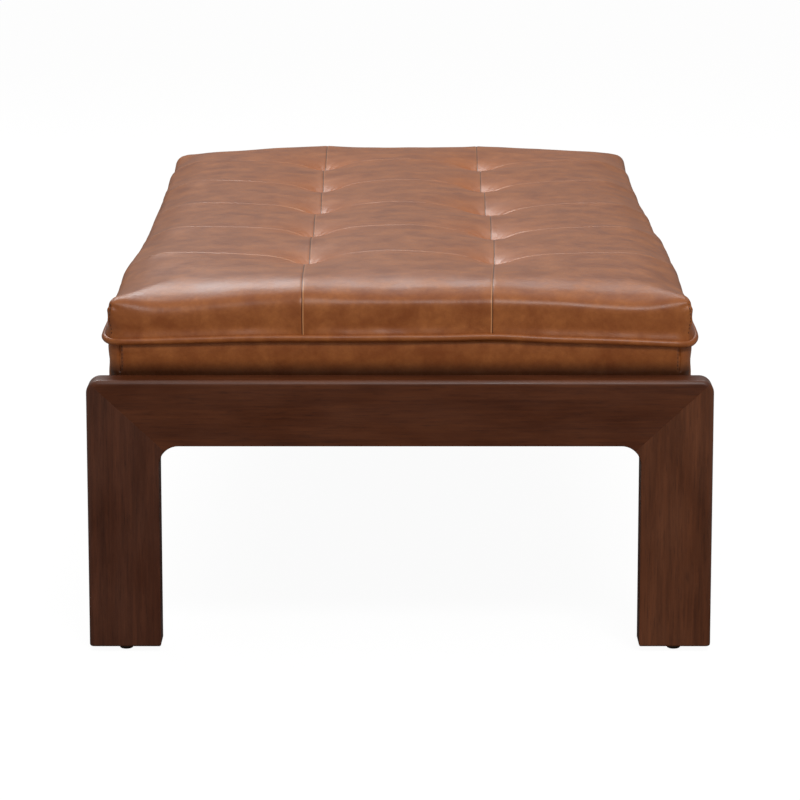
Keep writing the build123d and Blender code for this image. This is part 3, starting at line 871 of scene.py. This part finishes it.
for v in bm.verts:
    if v.co.z > band_bottom + 0.0008:
        v.co += seat_outward(v.co.x, v.co.y) * band_push(v.co.x, v.co.y, v.co.z)
whole_band = bm


def in_end_strip(middle):
    """Whether a face belongs to an end's strip, with its hem, which runs further in mid-way."""
    hem_end = seat_half_y - band_hem - 0.01 - 0.2 * (abs(middle.x) < 0.3)
    return abs(middle.x) < band_seam and abs(middle.y) > hem_end


for name, side_x, side_y in (("front", 0, -1), ("back", 0, 1), ("left", -1, 0), ("right", 1, 0)):
    part = whole_band.copy()
    gone = []
    for f in part.faces:
        middle = f.calc_center_median()
        end_strip = in_end_strip(middle)
        if side_y:
            kept = end_strip and middle.y * side_y > 0
        else:
            kept = not end_strip and middle.x * side_x > 0
        if not kept:
            gone.append(f)
    bmesh.ops.delete(part, geom=gone, context="FACES")
    strip = piece_from(part, f"{name}_band_leather", leather)
    if sum(p.normal.dot(Vector((p.center.x, p.center.y, 0))) for p in strip.data.polygons) < 0:
        strip.data.flip_normals()
    wall = strip.modifiers.new("leather_thickness", "SOLIDIFY")
    wall.thickness = 0.0013
    wall.offset = -1
    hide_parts(f"{name}_band")
whole_band.free()

# Stitches: dark bonded nylon thread, a single row beside each upright corner seam of the
# top and beside each seam of the band at its ends.
thread, tree, place = material("bonded nylon thread")
# The twist of the plies, drawn at 0.6 mm.
twist_at = add(tree, "Mapping", inputs={
    "Vector": place, "Rotation": (0.6, 0.5, 0.4), "Scale": (1600, 1600, 1600)})
twist = add(tree, "TexWave", {"wave_type": "BANDS"}, {"Vector": twist_at, "Scale": 0.3})
plies = blend(tree, twist.outputs[1], "#2B170C", "#4B2B17")
surface(tree, plies, 0.5, {"IOR": 1.53})

stitch_length = 0.0032
stitch_gap = 0.0012
stitch_half = (stitch_length / 2, 0.00042, 0.00034, 1)
beside_seam = 0.0135
bm = bmesh.new()
top_surface = BVHTree.FromPolygons([v.co for v in fine_mesh.vertices],
                                   [p.vertices for p in fine_mesh.polygons])
lines = []
for side_x in (-1, 1):
    for side_y in (-1, 1):
        corner_r = 0.0 if side_y < 0 else 6.0
        beside = beside_seam if side_x < 0 else 3 - beside_seam
        lines.append([top_point(beside, corner_r, k / 40, 1.0) for k in range(1, 38)])
        lines.append([Vector((side_x * (band_seam - 0.0024), side_y * seat_half_y,
                              0.3530 - 0.001 * k)) for k in range(35)])
for number, line in enumerate(lines):
    walked, due = 0.0, 0.0
    for a, b in zip(line, line[1:]):
        walked += (b - a).length
        if walked < due:
            continue
        due += stitch_length + stitch_gap
        facing_out = Vector((0, copysign(1, b.y), 0))
        if number % 2 == 0:
            spot, facing_out = top_surface.find_nearest(b)[:2]
        else:
            spot = b + facing_out * band_push(b.x, b.y, b.z)
        run = (b - a).normalized()
        turned = Matrix((run, facing_out.cross(run), facing_out)).transposed().to_4x4()
        bmesh.ops.create_uvsphere(
            bm, u_segments=8, v_segments=6, radius=1.0,
            matrix=Matrix.Translation(spot + facing_out * 0.00012) @ turned
            @ Matrix.Diagonal(stitch_half))
stitches = piece_from(bm, "seam_stitches", thread)

# Glides: four round pads of hard grey-brown plastic, each nailed up into the end grain of
# a leg. Their lower edge is rounded so that they slide.
glide_plastic, tree, place = material("moulded nylon glide")
# Scuffs from the floor, about 1.5 mm long.
scuffs = speckle(tree, place, 650.0, 3.0)
worn = blend(tree, scuffs, "#332A25", "#5C4F46")
dull = ramp(tree, scuffs, 0.3, 0.7, 0.38, 0.6)
surface(tree, worn, dull, {"IOR": 1.53})
glide_radius = 0.008
glide_round = 0.0026
leg_middle = 0.3145
bm = bmesh.new()
for x in (-leg_middle, leg_middle):
    for y in (-frame_middle, frame_middle):
        made = bmesh.ops.create_cone(bm, cap_ends=True, cap_tris=False, segments=32,
                                     radius1=glide_radius, radius2=glide_radius, depth=foot,
                                     matrix=Matrix.Translation((x, y, foot / 2)))
        low = [e for e in {e for v in made["verts"] for e in v.link_edges}
               if all(v.co.z < 1e-6 for v in e.verts)]
        round_edges(bm, low, glide_round, 5)
glides = piece_from(bm, "nylon_glides", glide_plastic)
glides.data.set_sharp_from_angle(angle=radians(50))
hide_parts("glide_pads")

# Firm foam: one block of high-density foam on the deck, cut to the box, its upright edges
# rounded to the leather's corners. It carries the soft foam and the tufted top.
foam, tree, place = material("open-cell polyurethane foam")
# Open cells, drawn at 1.5 mm.
holes = add(tree, "TexVoronoi", inputs={"Vector": place, "Scale": 650.0})
aged = speckle(tree, place, 8.0, 3.0)
tone = blend(tree, aged, "#E6D9A8", "#F1EBD0")
pitted = blend(tree, 0.35, tone, holes.outputs["Color"], "MULTIPLY")
rough = relief(tree, holes, 0.5, 0.001)
surface(tree, pitted, 0.95, {"Normal": rough})
low_corner, high_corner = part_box("firm_foam")
bm = bmesh.new()
foam_size = high_corner - low_corner - Vector((0.011, 0.011, 0))
bmesh.ops.create_cube(bm, size=1.0, matrix=Matrix.Translation((low_corner + high_corner) / 2)
                      @ Matrix.Diagonal((*foam_size, 1)))
tall = [e for e in bm.edges if abs(e.verts[0].co.z - e.verts[1].co.z) > 0.01]
round_edges(bm, tall, 0.034, 8)
ends = [e for e in bm.edges if all(v.co.z < low_corner.z + 1e-6 for v in e.verts)
        or all(v.co.z > high_corner.z - 1e-6 for v in e.verts)]
round_edges(bm, ends, 0.006, 4)
block = piece_from(bm, "firm_foam_block", foam, rounded=False)
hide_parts("firm_foam")

# Dust cover: black spun-bonded cloth over the underside, its edges folded in and stapled
# to the box over the leather's hem. It hangs a little slack between the rails.
dust_cloth, tree, place = material("black spun-bonded polypropylene cloth")
# The grid of welded dots, drawn at 3 mm, and the loose fibres between them.
dots = add(tree, "TexVoronoi", inputs={"Vector": place, "Scale": 330.0, "Randomness": 0.15})
fibres = speckle(tree, place, 900.0, 3.0)
dot_share = ramp(tree, dots, 0.12, 0.3)
black = blend(tree, fibres, "#161616", "#2B2A29")
spotted = blend(tree, dot_share, "#101010", black)
dimples = relief(tree, dots, 0.4, 0.0004)
surface(tree, spotted, 0.78, {"Sheen Weight": 0.15, "Normal": dimples})
low_corner, high_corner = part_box("dust_cover")
cloth_half_x, cloth_half_y = high_corner.x, high_corner.y
bm = bmesh.new()
bmesh.ops.create_grid(bm, x_segments=54, y_segments=110, size=1.0)
for v in bm.verts:
    v.co = Vector((v.co.x * cloth_half_x, v.co.y * cloth_half_y, 0))
    inside = min(cloth_half_x - abs(v.co.x), cloth_half_y - abs(v.co.y))
    slack = smooth((inside - 0.012) / 0.12)
    wave = wander(v.co.x * 16, v.co.y * 16, 2.0)
    creased = exp(-inside / 0.03) * (1 - exp(-inside / 0.006))
    v.co.z = high_corner.z - 0.0006 - slack * (0.0045 + 0.0022 * wave) - creased * 0.0016 * (
        0.5 + wander(v.co.x * 60, v.co.y * 60, 9.0))
under_cloth = piece_from(bm, "dust_cover_cloth", dust_cloth)
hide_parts("dust_cover")

# Staples: bright zinc-plated wire, 12 mm wide, through the cloth's folded edge and the hem
# into the softwood box, one every 90 mm or so.
zinc, tree, place = material("zinc-plated steel")
# The plating's crystals, drawn at 3 mm.
spangle = add(tree, "TexVoronoi", inputs={"Vector": place, "Scale": 340.0})
plated = blend(tree, spangle, "#B9BDC0", "#D3D5D4")
dull = ramp(tree, spangle, 0.1, 0.7, 0.28, 0.44)
surface(tree, plated, dull, {"Metallic": 1.0})
staple_width = 0.012
bm = bmesh.new()
from_hem = 0.006
spots = [(side * (cloth_half_x - from_hem), -0.63 + 0.09 * k, 90)
         for side in (-1, 1) for k in range(15)]
spots += [(-0.28 + 0.08 * k, side * (cloth_half_y - from_hem), 0)
          for side in (-1, 1) for k in range(8)]
for number, (x, y, turn) in enumerate(spots):
    askew = radians(turn + 14 * sin(number * 2.3))
    made = bmesh.ops.create_cube(
        bm, size=1.0, matrix=Matrix.Translation((x, y, high_corner.z - 0.0012))
        @ Matrix.Rotation(askew, 4, "Z") @ Matrix.Diagonal((staple_width, 0.0012, 0.0006, 1)))
    round_edges(bm, list({e for v in made["verts"] for e in v.link_edges}), 0.00022, 2)
staples = piece_from(bm, "hem_staples", zinc, rounded=False)

# Hidden work: the softwood box, plywood deck, beech tenons, nails, bolts, inserts and
# buttons keep their modelled shapes, each in what it is cut, turned or moulded from.


def plain_wood(name, grain_turn, late, early, ring_gap):
    """Sawn wood: growth rings a few millimetres apart, with a fuzzy, unfinished surface."""
    wood, tree, place = material(name)
    turned = add(tree, "Mapping", inputs={
        "Vector": place, "Rotation": grain_turn, "Scale": (0.08, 1, 1)})
    rings = add(tree, "TexWave", {"wave_type": "RINGS", "rings_direction": "X"}, {
        "Vector": turned, "Scale": 0.16 / ring_gap, "Distortion": 3.0, "Detail": 3.0,
        "Detail Scale": 12.0})
    fuzz = speckle(tree, turned, 900.0, 3.0)
    tone = blend(tree, rings.outputs[1], late, early)
    raised = relief(tree, fuzz, 0.3, 0.0004)
    surface(tree, tone, 0.7, {"Normal": raised})
    return wood


quarter = radians(90)
pine_long = plain_wood("sawn pine, lengthways", (0, 0, quarter), "#C08A4E", "#E7C48D", 0.004)
pine_cross = plain_wood("sawn pine, crossways", (0, 0, 0), "#BE894F", "#E4C08A", 0.004)
beech = plain_wood("planed beech", (0, radians(45), 0), "#B98155", "#D3A177", 0.0025)
plywood = plain_wood("birch plywood", (0, quarter, 0), "#B98F5C", "#E2C597", 0.0015)

for name, node in nodes.items():
    if node.hide_render or name == "tuft_twines":
        continue
    finish = (pine_long if name in ("box_left_rail", "box_right_rail") else
              pine_cross if name.startswith(("box_", "cross_rail")) else
              plywood if name == "deck_panel" else beech if name == "mitre_tenons" else
              glide_plastic if name == "tuft_buttons" else zinc)
    node.data.materials.clear()
    node.data.materials.append(finish)

# Tie twines: ten waxed polyester twines, each knotted under a button below the deck, drawn
# straight up through it and through the foam, and sewn to the leather's seam crossing.
twine_fibre, tree, place = material("waxed polyester twine")
# The twist of its strands, drawn at 2 mm.
lay = add(tree, "TexWave", {"wave_type": "BANDS", "bands_direction": "DIAGONAL"}, {
    "Vector": place, "Scale": 160.0})
strands = blend(tree, lay.outputs[1], "#8D8676", "#D9D3C4")
surface(tree, strands, 0.55, {})

twine_radius = 0.0011
knot_radius = 0.0026
button_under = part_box("tuft_buttons")[0].z
tie_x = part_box("tuft_buttons")[1].x - 0.010
bm = bmesh.new()
for side, ties in ((-1, left_seam), (1, right_seam)):
    for row in range(1, 6):
        # Straight up through the deck, and then to the seam crossing that it pulls down.
        low_end = Vector((side * tie_x, row_lines[row], button_under - 0.0020))
        bend = Vector((low_end.x, low_end.y, frame_top + 0.004))
        crossing = top_point(side * 0.5 + 1.5, float(row), 0.0, 1.0)
        high_end = Vector((ties[row][0], row_lines[row], crossing.z - 0.0030))
        for a, b in ((low_end, bend), (bend, high_end)):
            turned = (b - a).to_track_quat("Z", "Y").to_matrix().to_4x4()
            bmesh.ops.create_cone(bm, cap_ends=True, cap_tris=False, segments=10,
                                  radius1=twine_radius, radius2=twine_radius, depth=(b - a).length,
                                  matrix=Matrix.Translation((a + b) / 2) @ turned)
        knot = Matrix.Translation((low_end.x, low_end.y, button_under - 0.0018))
        bmesh.ops.create_uvsphere(bm, u_segments=10, v_segments=8, radius=knot_radius, matrix=knot)
twines = piece_from(bm, "tie_twines", twine_fibre)
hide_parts("tuft_twines")
